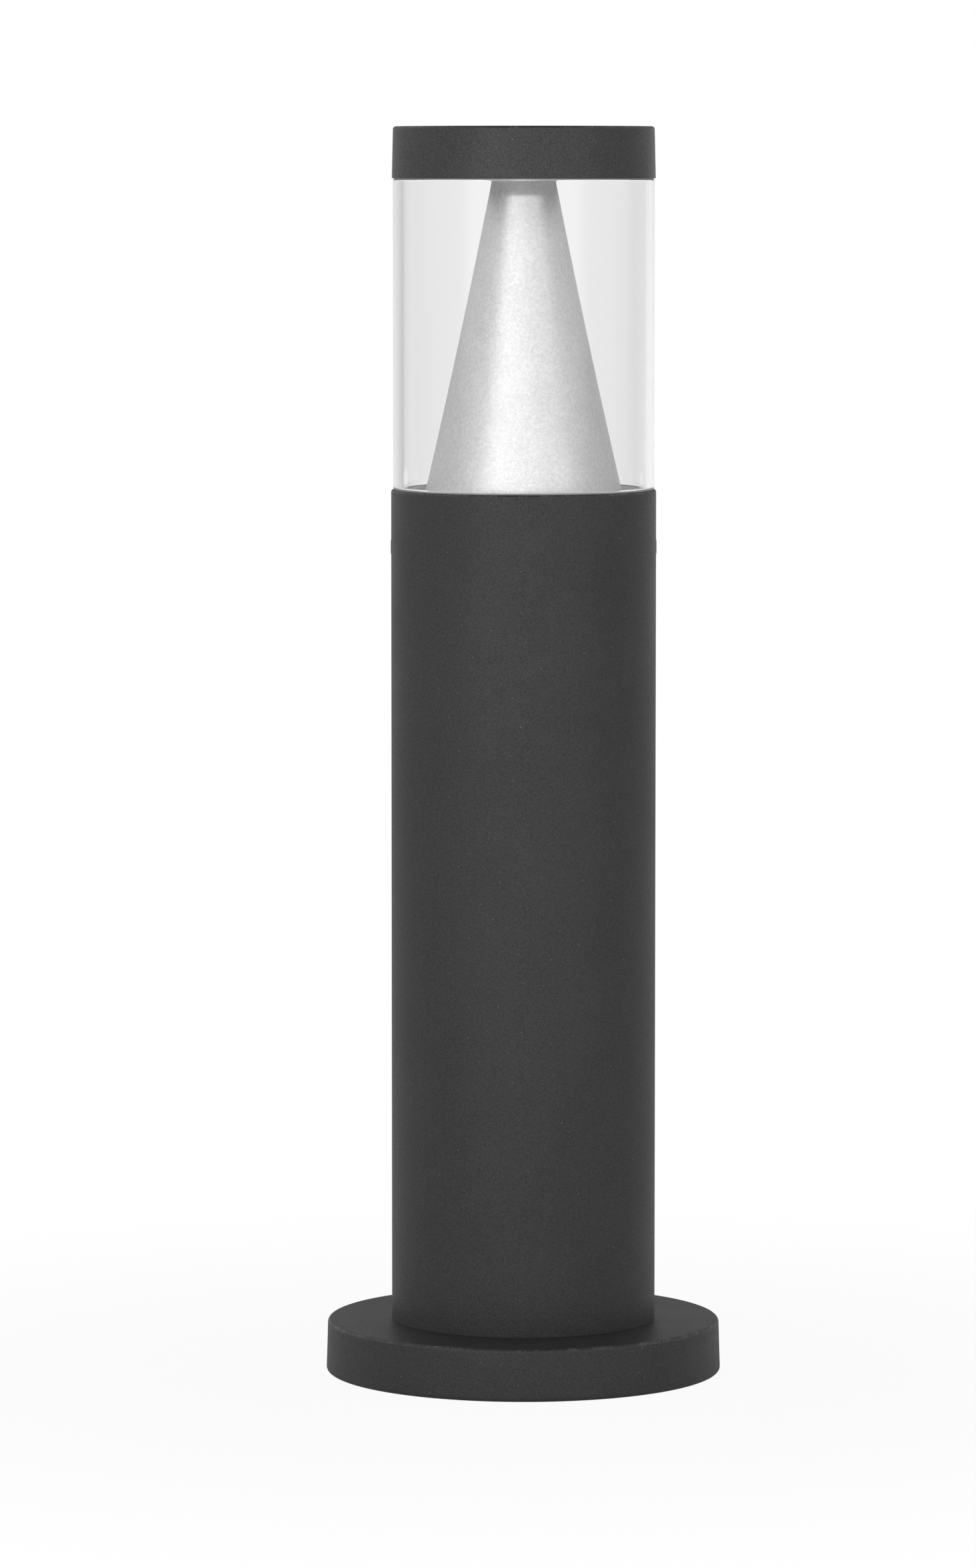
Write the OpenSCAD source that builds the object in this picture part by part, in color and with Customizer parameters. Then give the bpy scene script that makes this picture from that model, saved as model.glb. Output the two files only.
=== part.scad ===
// Garden post light. A clear lantern with a cone reflector is clamped under a cast cap by one
// hollow tie pipe. Its carrier sits in the top of a round post, and the post slides over the
// spigot of a cast foot that is anchored to the ground. Millimetres, Z up, foot on Z = 0.

/* [Overall] */
// Diameter of the foot at the ground
foot_d = 159; // [145:1:190]
// Height of the foot's flange
foot_h = 21; // [17:0.5:28]
// Outside diameter of the post
post_d = 106; // [100:1:120]
// Length of the post
post_len = 334.5; // [320:0.5:900]
// Height of clear tube between the post and the cap
window_h = 123.9; // [90:0.1:180]
// Height of the cap
cap_h = 20.6; // [18:0.1:28]

/* [Foot] */
// Draft angle of the flange's side
foot_draft = 1.8; // [0.5:0.1:4]
// Radius of the flange's top edge
foot_edge_r = 1.5; // [0.8:0.1:4]
// Radius of the flange's heel at the ground
foot_heel_r = 1.5; // [0.5:0.1:2.5]
// Thickness of the flange's top
foot_top_t = 5; // [3:0.1:7]
// Thickness of the flange's outer rim
foot_rim_t = 6; // [4:0.1:9]
// Thickness of the floor inside the spigot
floor_t = 7; // [5:0.1:10]
// Height of the spigot above the flange
spigot_h = 45; // [32:0.5:70]
// Wall of the spigot
spigot_t = 4.5; // [3.5:0.1:6]
// Gap between the spigot and the post
spigot_gap = 0.15; // [0.1:0.01:0.4]
// Number of ribs under the flange
rib_n = 8; // [6:1:18]
// Thickness of a rib
rib_t = 3; // [2:0.1:5]
// Height of the ribs' lower edges above the ground
rib_lift = 2; // [1:0.1:5]

/* [Ground anchors and cable entry] */
// Diameter of the circle of anchor holes
anchor_pcd = 66; // [58:1:68]
// Diameter of an anchor hole
anchor_d = 9; // [6:0.5:11]
// Bore of the cable grommet
cable_d = 12; // [8:0.5:14]
// Wall of the grommet in the floor
grommet_wall = 5; // [3:0.1:6]
// Overhang of the grommet's lip
grommet_lip = 3; // [1.5:0.1:4]
// Thickness of the grommet's lip
grommet_lip_t = 2.5; // [1.5:0.1:4]

/* [Post] */
// Wall of the post
post_wall = 2.5; // [2.2:0.1:3.5]
// Radius of the post's upper outside edge
post_edge_r = 1; // [0.4:0.1:1.2]
// Height of the foot screws above the flange
foot_screw_rise = 20; // [12:0.5:25]
// Depth of the carrier screws below the post's lip
carrier_screw_drop = 23; // [17:0.5:26]

/* [Lantern carrier] */
// Depth of the carrier in the post
carrier_h = 32; // [30:0.5:50]
// Wall of the carrier's skirt
carrier_wall = 3; // [2.5:0.1:4]
// Thickness of the carrier's plate
carrier_plate_t = 5; // [4:0.1:8]
// Gap between the carrier and the post
carrier_gap = 0.15; // [0.1:0.01:0.4]
// Depth of the reflector's seat below the post's lip
seat_drop = 1.8; // [1.4:0.1:2.2]
// Height of the ring that centres the reflector
register_h = 1.5; // [1:0.1:3]
// Width of that ring
register_w = 3; // [2:0.1:5]

/* [Clear tube and seals] */
// Step from the post in to the clear tube
tube_step = 0.8; // [0.5:0.1:2]
// Wall of the clear tube
tube_wall = 4; // [3:0.1:5]
// Chamfer on the tube's edges
tube_chamfer = 0.3; // [0.1:0.05:0.5]
// Thickness of the seal under the tube
lower_seal_t = 0.5; // [0.4:0.1:1.5]
// Thickness of the seal on top of the tube
upper_seal_t = 0.5; // [0.4:0.1:1.5]
// Reach of a seal's rib past the end of the tube
seal_rib_h = 0.3; // [0.2:0.05:0.8]
// Distance of a seal's outer edge in from the tube's face
seal_inset = 0.4; // [0.3:0.1:1]
// Side gap of the seals
seal_gap = 0.15; // [0.1:0.05:0.4]

/* [Cone reflector] */
// Outside diameter of the cone's foot
cone_foot_d = 78.6; // [64:0.2:82]
// Outside diameter of the cone's top
cone_top_d = 24.4; // [23.6:0.2:26]
// Hollowing of the cone's side at half height
cone_bow = 0.6; // [0:0.1:2]
// Sheet thickness of the cone
cone_wall = 1.2; // [0.8:0.1:1.6]
// Gap between the brim around the cone and the inside of the clear tube
brim_gap = 2.7; // [2:0.1:4]
// Height of the brim's turned-up edge above the post's lip
rim_rise = 0.7; // [0.4:0.1:1.2]
// Reach of the cone up into the cap
cone_rise = 1.8; // [1:0.1:1.9]

/* [Cap] */
// Overhang of the cap over the clear tube
cap_overhang = 0.4; // [0.2:0.1:3]
// Draft angle of the cap's side
cap_draft = 1.3; // [0.5:0.1:3]
// Radius of the cap's top edge
cap_edge_r = 1.2; // [0.8:0.1:3]
// Thickness of the cap's top
cap_top_t = 3.2; // [2.5:0.1:4]
// Width of the rim face inside the tube's inner wall
cap_land = 1.7; // [1:0.1:3]

/* [Light unit] */
// Thickness of the circuit board
board_t = 1.6; // [1:0.1:2]
// Diameter of the circle of light chips
chip_pcd = 48; // [44:0.5:54]
// Number of light chips
chip_n = 12; // [6:1:20]
// Width of a light chip
chip_w = 3; // [2:0.1:3.5]
// Height of a light chip
chip_h = 0.8; // [0.5:0.1:1.5]
// Distance of the lens ring up inside the cap
lens_recess = 2; // [2:0.1:3]
// Height of the lens ring
lens_h = 6; // [5.5:0.1:7]
// Wall of the lens ring
lens_wall = 1.5; // [1:0.1:1.8]
// Gap around the lens ring
lens_gap = 1.5; // [0.8:0.1:2]
// Inside radius of the lens ring's collar
lens_bore_r = 13.5; // [13.2:0.1:14.5]
// Diameter of the circle of lens screws
lens_screw_pcd = 68; // [66:0.5:70]
// Diameter of a lens screw
lens_screw_d = 3; // [2.5:0.1:3.5]
// Depth of a lens screw in the cap
lens_screw_grip = 5; // [4:0.1:5.5]

/* [Tie pipe] */
// Outside diameter of the tie pipe
pipe_d = 10; // [9:0.1:11]
// Bore of the tie pipe
pipe_bore = 7; // [6:0.1:7.4]
// Length of pipe screwed into the cap
pipe_grip = 6; // [4:0.1:6.4]
// Length of pipe below its lower nut
pipe_tail = 3.3; // [1:0.1:6]
// Width across flats of the pipe's nuts
nut_af = 17; // [15:0.5:18]
// Height of the lower nut
tie_nut_h = 5; // [4:0.1:7]
// Height of the nut on the cone
cone_nut_h = 3.6; // [3:0.1:3.8]
// Diameter of the washer
washer_d = 24; // [21:0.5:26]
// Thickness of the washer
washer_t = 1.2; // [1:0.1:2]
// Height of the carrier's centre boss
centre_boss_h = 6; // [3:0.1:9]

/* [Gear tray] */
// Width of the tray
tray_w = 50; // [44:1:54]
// Length of the tray
tray_len = 192; // [170:1:215]
// Sheet thickness of the tray
tray_t = 1.5; // [1:0.1:2]
// Depth of the tray's top flange
tray_flange = 20; // [17:0.5:21]
// Distance between the tray's screws
tray_screw_span = 32; // [26:1:36]
// Diameter of a tray screw
tray_screw_d = 4; // [3:0.1:5]
// Length of a tray screw under its head
tray_screw_len = 8; // [6:0.5:8.5]
// Height of the carrier's bosses for the tray
tray_boss_h = 8; // [7.5:0.1:12]

/* [Driver] */
// Width of the driver
driver_w = 40; // [30:1:42]
// Depth of the driver
driver_t = 24; // [21:0.5:28]
// Length of the driver's case
driver_len = 105; // [80:1:106]
// Distance from the tray's top to the driver's case
driver_drop = 32.5; // [28:0.5:33]
// Length of a driver's ear
ear_len = 9; // [8:0.5:10]
// Thickness of a driver's ear
ear_t = 3; // [2:0.1:4]
// Diameter of a driver screw
driver_screw_d = 3; // [2.5:0.1:4]

/* [Terminal block] */
// Distance between neighbouring terminals
pole_pitch = 10; // [9:0.5:12]
// Height of the terminal block
block_h = 16; // [14:0.5:18]
// Depth of the terminal block
block_t = 14; // [12:0.5:16]
// Margin of the tray below the terminal block
block_margin = 2; // [1:0.5:4]
// Diameter of a wire's hole in the block
wire_hole_d = 3.6; // [3.2:0.1:4.2]
// Diameter of a clamping screw
clamp_screw_d = 3; // [2.5:0.1:3.4]

/* [Wiring] */
// Diameter of a light unit's lead
led_lead_d = 1.4; // [1:0.1:1.6]
// Diameter of a mains lead
mains_lead_d = 2.4; // [1.6:0.1:2.6]
// Distance of the earth screw from the post's axis
earth_r = 36; // [33:0.5:37]
// Diameter of the earth screw
earth_screw_d = 4; // [3:0.1:4]

/* [Hidden] */
$fn = 96;

// Clearances between pieces
fit = 0.1;          // around a piece dropped into a hole
thread_gap = 0.05;  // between a screw and its thread
pass_gap = 0.25;    // around a screw or pipe that passes through a hole
eps = 0.5;          // overrun of a cut past a face
bite = 1;           // overlap of solids that are joined

// Heights of the main joints
lip_z = foot_h + post_len;
cap_z = lip_z + window_h;
top_z = cap_z + cap_h;
seat_z = lip_z - seat_drop;

// Radii
foot_r = foot_d / 2;
post_r = post_d / 2;
post_ri = post_r - post_wall;
spigot_r = post_ri - spigot_gap;
spigot_ri = spigot_r - spigot_t;
carrier_r = post_ri - carrier_gap;
carrier_ri = carrier_r - carrier_wall;
tube_r = post_r - tube_step;
tube_ri = tube_r - tube_wall;
brim_r = tube_ri - brim_gap;
cap_r = tube_r + cap_overhang;
cap_ri = tube_ri - cap_land;
lens_r = cap_ri - lens_gap;
pipe_r = pipe_d / 2;

// Foot
pocket_top_z = foot_h - foot_top_t;
anchor_n = 3;
anchor_start = -90;
grommet_r = cable_d / 2 + grommet_wall;
grommet_lift = 0.5;
spigot_chamfer = 1.5;

// Screws in the side of the post, as azimuths from +X
foot_screw_turns = [50, 130];
carrier_screw_turns = [0, 180];
foot_screw_d = 5;
foot_screw_head_d = 9.2;
foot_screw_len = 9;
carrier_screw_d = 3;
carrier_screw_head_d = 5.8;
carrier_screw_len = 9;
side_screw_proud = 0.1;
foot_screw_z = foot_h + foot_screw_rise;
carrier_screw_z = lip_z - carrier_screw_drop;
side_pad_d = 10;
side_pad_t = 4;

// Seals and clear tube
lower_seal_top_z = lip_z + lower_seal_t;
upper_seal_z = cap_z - upper_seal_t;
seal_r = tube_r - seal_inset;
seal_rib_r = tube_ri - seal_gap;
lower_seal_ri = brim_r + seal_gap;
upper_seal_ri = cap_ri + seal_gap;

// Reflector
cone_top_z = cap_z + cone_rise;
brim_z = seat_z + cone_wall;
rim_z = lip_z + rim_rise;
cone_h = cone_top_z - brim_z;
cone_steps = 12;
register_gap = 0.2;
register_r = cone_r(max(0, register_h - cone_wall) / cone_h) - cone_wall - register_gap;

// Light unit, hung from the cap
lens_z = cap_z + lens_recess;
board_z = lens_z + lens_h;
land_z = board_z + board_t;
ceiling_z = top_z - cap_top_t;
board_r = lens_r - 1;
board_ri = lens_bore_r + lens_wall + fit;
lens_screw_n = 3;
lens_screw_start = 60;
lens_boss_r = lens_screw_d / 2 + 2;
lens_screw_head_h = 1.5;
inner_rib_r = chip_pcd / 2;
outer_rib_r = board_r - 2.5;
cap_rib_t = 3;
cap_boss_r = pipe_r + 4;
led_lead_z = board_z - led_lead_d / 2 - fit;
lead_window_d = led_lead_d + 1.4;
lead_spread = 1.1;
lead_end_x = board_ri + 3.5;

// Tie pipe and nuts
pipe_top_z = land_z + pipe_grip;
boss_bottom_z = lip_z - carrier_plate_t - centre_boss_h;
washer_z = boss_bottom_z - washer_t;
tie_nut_z = washer_z - tie_nut_h;
pipe_bottom_z = tie_nut_z - pipe_tail;

// Gear tray, hung from the carrier
tray_top_z = lip_z - carrier_plate_t - tray_boss_h;
tray_bottom_z = tray_top_z - tray_len;
tray_y = driver_t / 2;
tray_screw_y = tray_y + tray_t + (tray_flange - tray_t) / 2;
tray_bend_r = 3;
tray_boss_r = tray_screw_d / 2 + 2.5;
tray_screw_head_h = 2.4;

// Driver
driver_top_z = tray_top_z - driver_drop;
driver_z = driver_top_z - driver_len;
driver_chamfer = 2;
ear_w = 16;
driver_screw_len = 7;
driver_screw_head_h = 2;
driver_screw_zs = [driver_z - ear_len / 2, driver_top_z + ear_len / 2];

// Terminal block
block_z = tray_bottom_z + block_margin;
block_w = 3 * pole_pitch + 4;
block_front_y = tray_y - block_t;
wire_y = tray_y - block_t * 0.45;
wire_depth = block_h * 0.3;
clamp_screw_h = 2.2;
clamp_sink = 1;
clamp_rows = [0.2, 0.8]; // heights of the clamping screws, as shares of the block's
block_screw_len = block_t + 1;
block_screw_head_h = 1.8;

// Earth point
earth_boss_r = earth_screw_d / 2 + 2.5;
earth_boss_h = 5;
earth_z = floor_t + earth_boss_h;
lug_t = 0.8;
lug_reach = 11;
lug_barrel_r = mains_lead_d / 2 + 0.6;
lug_barrel_len = 5;
lug_grip = 4;
earth_screw_len = 7;
earth_screw_head_h = 2.4;

// Routes of the leads, from the light unit down to the foot, and a direction that none follows
lead_reference = [0.3, 1, 0.2];
led_lead_route = [
    [lead_end_x, lead_spread, led_lead_z], [pipe_r + 3, lead_spread, led_lead_z],
    [1.6, lead_spread, led_lead_z], [0, lead_spread, led_lead_z - 2.5],
    [0, lead_spread, led_lead_z - 8], [0, lead_spread, (led_lead_z + pipe_bottom_z) / 2],
    [0, lead_spread, pipe_bottom_z], [0, lead_spread, pipe_bottom_z - 4],
    [3, 4.4, pipe_bottom_z - 11], [4, 5.5, driver_top_z + 6], [4, 5.5, driver_top_z]
];
mains_lead_route = [
    [5, 0, driver_z], [5, 0, driver_z - 5], [7, 1, driver_z - 9],
    [pole_pitch, wire_y, block_z + block_h + 4], [pole_pitch, wire_y, block_z + block_h],
    [pole_pitch, wire_y, block_z + block_h - wire_depth]
];
earth_drop = block_z - earth_z;
earth_lead_route = [
    [0, wire_y, block_z + wire_depth], [0, wire_y, block_z], [0, wire_y, block_z - 8],
    [2, wire_y + 6, block_z - 20], [8, earth_r - 14, earth_z + 0.8 * earth_drop],
    [14, earth_r - 3, earth_z + 0.72 * earth_drop], [17, earth_r - 1, earth_z + 0.6 * earth_drop],
    [18, earth_r, earth_z + 30], [18, earth_r, earth_z + 12],
    [16, earth_r, earth_z + lug_barrel_r + 2], [lug_reach + 1.5, earth_r, earth_z + lug_barrel_r],
    [lug_reach - 2, earth_r, earth_z + lug_barrel_r]
];

// Colours
powder_coat = "#3d3e40";
bare_aluminium = "#d6d8da";
stainless = "#b9bcc0";
seal_grey = "#b4b5b6";

// Points of an arc about [x, y], from angle a0 to a1
function arc(x, y, r, a0, a1, steps = 6) =
    [for (i = [0 : steps]) let(a = a0 + (a1 - a0) * i / steps) [x + r * cos(a), y + r * sin(a)]];

// Rounded edge of a drafted side that has radius r at height base, its centre z above that
function edge(r, z, edge_r, draft, a0, a1, base = 0) =
    arc(r - z * tan(draft) - edge_r / cos(draft), base + z, edge_r, a0, a1);

function unit(v) = v / norm(v);

// One round of corner cutting, which keeps both ends
function cut_corners(p) = concat(
    [p[0]],
    [for (i = [0 : len(p) - 2]) each [p[i] * 0.75 + p[i + 1] * 0.25, p[i] * 0.25 + p[i + 1] * 0.75]],
    [p[len(p) - 1]]
);
function smooth(p, rounds) = rounds == 0 ? p : smooth(cut_corners(p), rounds - 1);

// Direction of a route at point i, and a vector square to it
function heading(p, i) = unit(p[min(i + 1, len(p) - 1)] - p[max(i - 1, 0)]);
function sideways(p, i) = unit(cross(heading(p, i), lead_reference));

// Point at angle a on the circle of radius r round point i of a route, square to it
function ring_point(p, i, r, a) =
    let(s = sideways(p, i)) p[i] + r * (cos(a) * s + sin(a) * cross(heading(p, i), s));

// Shapes that repeat
module around(n, r, start = 0) {
    for (i = [0 : n - 1])
        rotate([0, 0, start + 360 * i / n]) translate([r, 0, 0]) children();
}

module at_lens_screws() {
    around(lens_screw_n, lens_screw_pcd / 2, lens_screw_start) children();
}

module tube(r, ri, h) {
    difference() {
        cylinder(r = r, h = h);
        translate([0, 0, -eps]) cylinder(r = ri, h = h + 2 * eps);
    }
}

// Turns its child, drawn along +Z, to point outwards at an azimuth, with its Z = 0 at radius r
module outwards(turn, r, z) {
    rotate([0, 0, turn]) translate([r, 0, z]) rotate([0, 90, 0]) children();
}

// Countersunk screw: head flush with Z = 0, shank down
module countersunk_screw(d, head_d, length) {
    head_h = (head_d - d) / 2;
    difference() {
        rotate_extrude() polygon([
            [0, 0], [head_d / 2, 0], [d / 2, -head_h], [d / 2, -length], [0, -length]
        ]);
        translate([0, 0, -head_h * 0.8]) cylinder(d = d * 0.62, h = head_h, $fn = 6);
    }
}

module countersink(d, head_d, length) {
    head_h = (head_d - d) / 2;
    head_r = head_d / 2 + fit;
    translate([0, 0, -length - eps]) cylinder(d = d + 2 * pass_gap, h = length + eps);
    translate([0, 0, -head_h]) cylinder(r1 = d / 2 + fit, r2 = head_r, h = head_h);
    cylinder(r = head_r, h = eps);
}

// Pan-head screw: head above Z = 0, shank down
module pan_screw(d, length, head_h) {
    head_r = d * 0.92;
    edge = head_h * 0.4;
    difference() {
        rotate_extrude() polygon(concat(
            [[0, head_h]],
            arc(head_r - edge, head_h - edge, edge, 90, 0),
            [[head_r, 0], [d / 2, 0], [d / 2, -length], [0, -length]]
        ));
        translate([0, 0, head_h * 0.35]) cylinder(d = d * 0.6, h = head_h, $fn = 6);
    }
}

// Flat hexagon nut with chamfered corners, standing on Z = 0
module pipe_nut(h) {
    corner_r = nut_af / sqrt(3);
    cut = corner_r - nut_af / 2;
    difference() {
        intersection() {
            cylinder(r = corner_r, h = h, $fn = 6);
            rotate_extrude() polygon([
                [0, 0], [corner_r - cut, 0], [corner_r, cut * 0.6],
                [corner_r, h - cut * 0.6], [corner_r - cut, h], [0, h]
            ]);
        }
        translate([0, 0, -eps]) cylinder(r = pipe_r + thread_gap, h = h + 2 * eps);
    }
}

// Insulated lead: one closed tube of round section along a smoothed route
module lead(route, d, rounds = 2, sides = 8) {
    p = smooth(route, rounds);
    n = len(p);
    rings = [
        for (i = [0 : n - 1]) for (k = [0 : sides - 1]) ring_point(p, i, d / 2, 360 * k / sides)
    ];
    walls = [
        for (i = [0 : n - 2]) for (k = [0 : sides - 1])
            let(a = i * sides + k, b = i * sides + (k + 1) % sides) [a, b, b + sides, a + sides]
    ];
    first = [for (k = [0 : sides - 1]) sides - 1 - k];
    last = [for (k = [0 : sides - 1]) (n - 1) * sides + k];
    polyhedron(points = rings, faces = concat([first], walls, [last]));
}

// Foot: flange with a drafted side, hollow and ribbed below, and a spigot with a floor
module base_casting() {
    rim_ri = foot_r - foot_rim_t;
    color(powder_coat) difference() {
        union() {
            rotate_extrude() polygon(concat(
                [[0, 0]],
                [[spigot_r, 0], [spigot_r, pocket_top_z], [rim_ri, pocket_top_z], [rim_ri, 0]],
                edge(foot_r, foot_heel_r, foot_heel_r, foot_draft, -90, foot_draft),
                edge(foot_r, foot_h - foot_edge_r, foot_edge_r, foot_draft, foot_draft, 90),
                [[spigot_r, foot_h], [spigot_r, foot_h + spigot_h - spigot_chamfer]],
                [[spigot_r - spigot_chamfer, foot_h + spigot_h], [spigot_ri, foot_h + spigot_h]],
                [[spigot_ri, floor_t], [0, floor_t]]
            ));
            around(rib_n, 0, 180 / rib_n)
                translate([spigot_r - bite, -rib_t / 2, rib_lift])
                    cube([rim_ri - spigot_r + 2 * bite, rib_t, pocket_top_z - rib_lift + bite]);
            translate([0, earth_r, floor_t - bite])
                cylinder(r = earth_boss_r, h = earth_boss_h + bite);
        }
        around(anchor_n, anchor_pcd / 2, anchor_start)
            translate([0, 0, -eps]) cylinder(d = anchor_d, h = floor_t + 2 * eps);
        translate([0, 0, -eps]) cylinder(r = grommet_r + fit, h = floor_t + 2 * eps);
        translate([0, earth_r, floor_t - 3])
            cylinder(r = earth_screw_d / 2 + thread_gap, h = earth_boss_h + 3 + eps);
        for (turn = foot_screw_turns)
            outwards(turn, spigot_ri - eps, foot_screw_z)
                cylinder(r = foot_screw_d / 2 + thread_gap, h = spigot_t + 2 * eps);
    }
}

// Rubber bush that guards the supply cable where it passes the floor
module cable_grommet() {
    color("#26272a") difference() {
        union() {
            translate([0, 0, grommet_lift]) cylinder(r = grommet_r, h = floor_t - grommet_lift);
            translate([0, 0, floor_t]) cylinder(r = grommet_r + grommet_lip, h = grommet_lip_t);
        }
        cylinder(d = cable_d, h = floor_t + grommet_lip_t + eps);
    }
}

// Post: drawn tube with a rounded lip and four countersunk holes
module post_tube() {
    color(powder_coat) difference() {
        rotate_extrude() polygon(concat(
            [[post_ri, foot_h], [post_r, foot_h]],
            arc(post_r - post_edge_r, lip_z - post_edge_r, post_edge_r, 0, 90),
            [[post_ri, lip_z]]
        ));
        for (turn = foot_screw_turns)
            outwards(turn, post_r + side_screw_proud, foot_screw_z)
                countersink(foot_screw_d, foot_screw_head_d, post_wall + 2 * eps);
        for (turn = carrier_screw_turns)
            outwards(turn, post_r + side_screw_proud, carrier_screw_z)
                countersink(carrier_screw_d, carrier_screw_head_d, post_wall + 2 * eps);
    }
}

module foot_screws() {
    color(stainless)
        for (turn = foot_screw_turns)
            outwards(turn, post_r + side_screw_proud, foot_screw_z)
                countersunk_screw(foot_screw_d, foot_screw_head_d, foot_screw_len);
}

// Carrier: plug in the post's mouth that holds the lantern above and the gear tray below
module lantern_carrier() {
    plate_z = lip_z - carrier_plate_t;
    color(powder_coat) difference() {
        union() {
            rotate_extrude() polygon(concat(
                [[carrier_r, lip_z - carrier_h], [carrier_r, lip_z]],
                [[brim_r + fit, lip_z], [brim_r + fit, seat_z], [register_r, seat_z]],
                [[register_r, seat_z + register_h], [register_r - register_w, seat_z + register_h]],
                [[register_r - register_w, seat_z], [0, seat_z], [0, plate_z]],
                [[carrier_ri, plate_z], [carrier_ri, lip_z - carrier_h]]
            ));
            translate([0, 0, boss_bottom_z]) cylinder(d = washer_d, h = centre_boss_h + bite);
            for (x = [-1, 1])
                translate([x * tray_screw_span / 2, tray_screw_y, tray_top_z])
                    cylinder(r = tray_boss_r, h = tray_boss_h + bite);
            for (turn = carrier_screw_turns)
                outwards(turn, carrier_ri - side_pad_t, carrier_screw_z)
                    cylinder(d = side_pad_d, h = side_pad_t + bite);
        }
        translate([0, 0, boss_bottom_z - eps])
            cylinder(r = pipe_r + pass_gap, h = seat_z - boss_bottom_z + 2 * eps);
        for (x = [-1, 1])
            translate([x * tray_screw_span / 2, tray_screw_y, tray_top_z - eps])
                cylinder(r = tray_screw_d / 2 + thread_gap, h = tray_screw_len - tray_t + 2 * eps);
        for (turn = carrier_screw_turns)
            outwards(turn, carrier_ri - side_pad_t - eps, carrier_screw_z)
                cylinder(r = carrier_screw_d / 2 + thread_gap, h = side_pad_t + carrier_wall + 2 * eps);
    }
}

module carrier_screws() {
    color(stainless)
        for (turn = carrier_screw_turns)
            outwards(turn, post_r + side_screw_proud, carrier_screw_z)
                countersunk_screw(carrier_screw_d, carrier_screw_head_d, carrier_screw_len);
}

// Seal under the clear tube: flat ring with a rib that centres the tube
module lower_seal() {
    color(seal_grey) rotate_extrude() polygon([
        [lower_seal_ri, lip_z], [seal_r, lip_z], [seal_r, lower_seal_top_z],
        [seal_rib_r, lower_seal_top_z], [seal_rib_r, lower_seal_top_z + seal_rib_h],
        [lower_seal_ri, lower_seal_top_z + seal_rib_h]
    ]);
}

module clear_tube() {
    c = tube_chamfer;
    z0 = lower_seal_top_z;
    z1 = upper_seal_z;
    color([0.9, 0.94, 0.96, 0.3]) rotate_extrude() polygon([
        [tube_ri + c, z0], [tube_r - c, z0], [tube_r, z0 + c], [tube_r, z1 - c],
        [tube_r - c, z1], [tube_ri + c, z1], [tube_ri, z1 - c], [tube_ri, z0 + c]
    ]);
}

// Seal between the clear tube and the cap, with the same section turned over
module upper_seal() {
    color(seal_grey) rotate_extrude() polygon([
        [upper_seal_ri, cap_z], [seal_r, cap_z], [seal_r, upper_seal_z],
        [seal_rib_r, upper_seal_z], [seal_rib_r, upper_seal_z - seal_rib_h],
        [upper_seal_ri, upper_seal_z - seal_rib_h]
    ]);
}

// Cap: casting with a rim face on the seal, ring ribs that carry the board, and a threaded boss
module cap() {
    rib_h = ceiling_z - land_z + bite;
    color(powder_coat) difference() {
        union() {
            rotate_extrude() polygon(concat(
                [[0, ceiling_z], [cap_ri, ceiling_z], [cap_ri, cap_z], [cap_r, cap_z]],
                edge(cap_r, cap_h - cap_edge_r, cap_edge_r, cap_draft, cap_draft, 90, cap_z),
                [[0, top_z]]
            ));
            translate([0, 0, land_z]) {
                for (r = [inner_rib_r, outer_rib_r])
                    tube(r + cap_rib_t / 2, r - cap_rib_t / 2, rib_h);
                cylinder(r = cap_boss_r, h = rib_h);
                at_lens_screws() cylinder(r = lens_boss_r + 0.5, h = rib_h);
            }
        }
        translate([0, 0, land_z - eps]) cylinder(r = pipe_r + thread_gap, h = pipe_grip + 2 * eps);
        translate([0, 0, land_z - eps]) at_lens_screws()
            cylinder(r = lens_screw_d / 2 + thread_gap, h = lens_screw_grip + 2 * eps);
    }
}

// Outside radius of the cone at a share u of its height
function cone_r(u) = cone_foot_d / 2 * (1 - u) + cone_top_d / 2 * u - 4 * cone_bow * u * (1 - u);

// Reflector: spun cone, closed at the top around the tie pipe, with a brim and a turned-up edge
module reflector_cone() {
    steps = [for (i = [0 : cone_steps]) i / cone_steps];
    inner = [
        for (i = [cone_steps : -1 : 0])
            let(u = (1 - cone_wall / cone_h) * i / cone_steps)
                [cone_r(u) - cone_wall, brim_z + u * cone_h]
    ];
    color(bare_aluminium) difference() {
        rotate_extrude() polygon(concat(
            [[brim_r, seat_z], [brim_r, rim_z], [brim_r - cone_wall, rim_z], [brim_r - cone_wall, brim_z]],
            [for (u = steps) [cone_r(u), brim_z + u * cone_h]],
            [[0, cone_top_z], [0, cone_top_z - cone_wall]],
            inner,
            [[cone_r(0) - cone_wall, seat_z]]
        ));
        translate([0, 0, cone_top_z - cone_wall - eps])
            cylinder(r = pipe_r + pass_gap, h = cone_wall + 2 * eps);
    }
}

module cone_nut() {
    color(stainless) translate([0, 0, cone_top_z]) pipe_nut(cone_nut_h);
}

// Tie pipe: hollow threaded pipe with a window where the light unit's leads enter
module tie_pipe() {
    color("#c9b27a") difference() {
        translate([0, 0, pipe_bottom_z]) tube(pipe_r, pipe_bore / 2, pipe_top_z - pipe_bottom_z);
        for (y = [-lead_spread, lead_spread])
            translate([0, y, led_lead_z]) rotate([0, 90, 0]) cylinder(d = lead_window_d, h = pipe_d);
    }
}

module tie_washer() {
    color(stainless) translate([0, 0, washer_z]) tube(washer_d / 2, pipe_r + pass_gap, washer_t);
}

module tie_nut() {
    color(stainless) translate([0, 0, tie_nut_z]) pipe_nut(tie_nut_h);
}

// Circuit board ring that carries the light chips on its underside
module led_board() {
    color("#f2f2ee") difference() {
        translate([0, 0, board_z]) tube(board_r, board_ri, board_t);
        translate([0, 0, board_z - eps]) at_lens_screws()
            cylinder(r = lens_screw_d / 2 + pass_gap, h = board_t + 2 * eps);
    }
}

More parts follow.
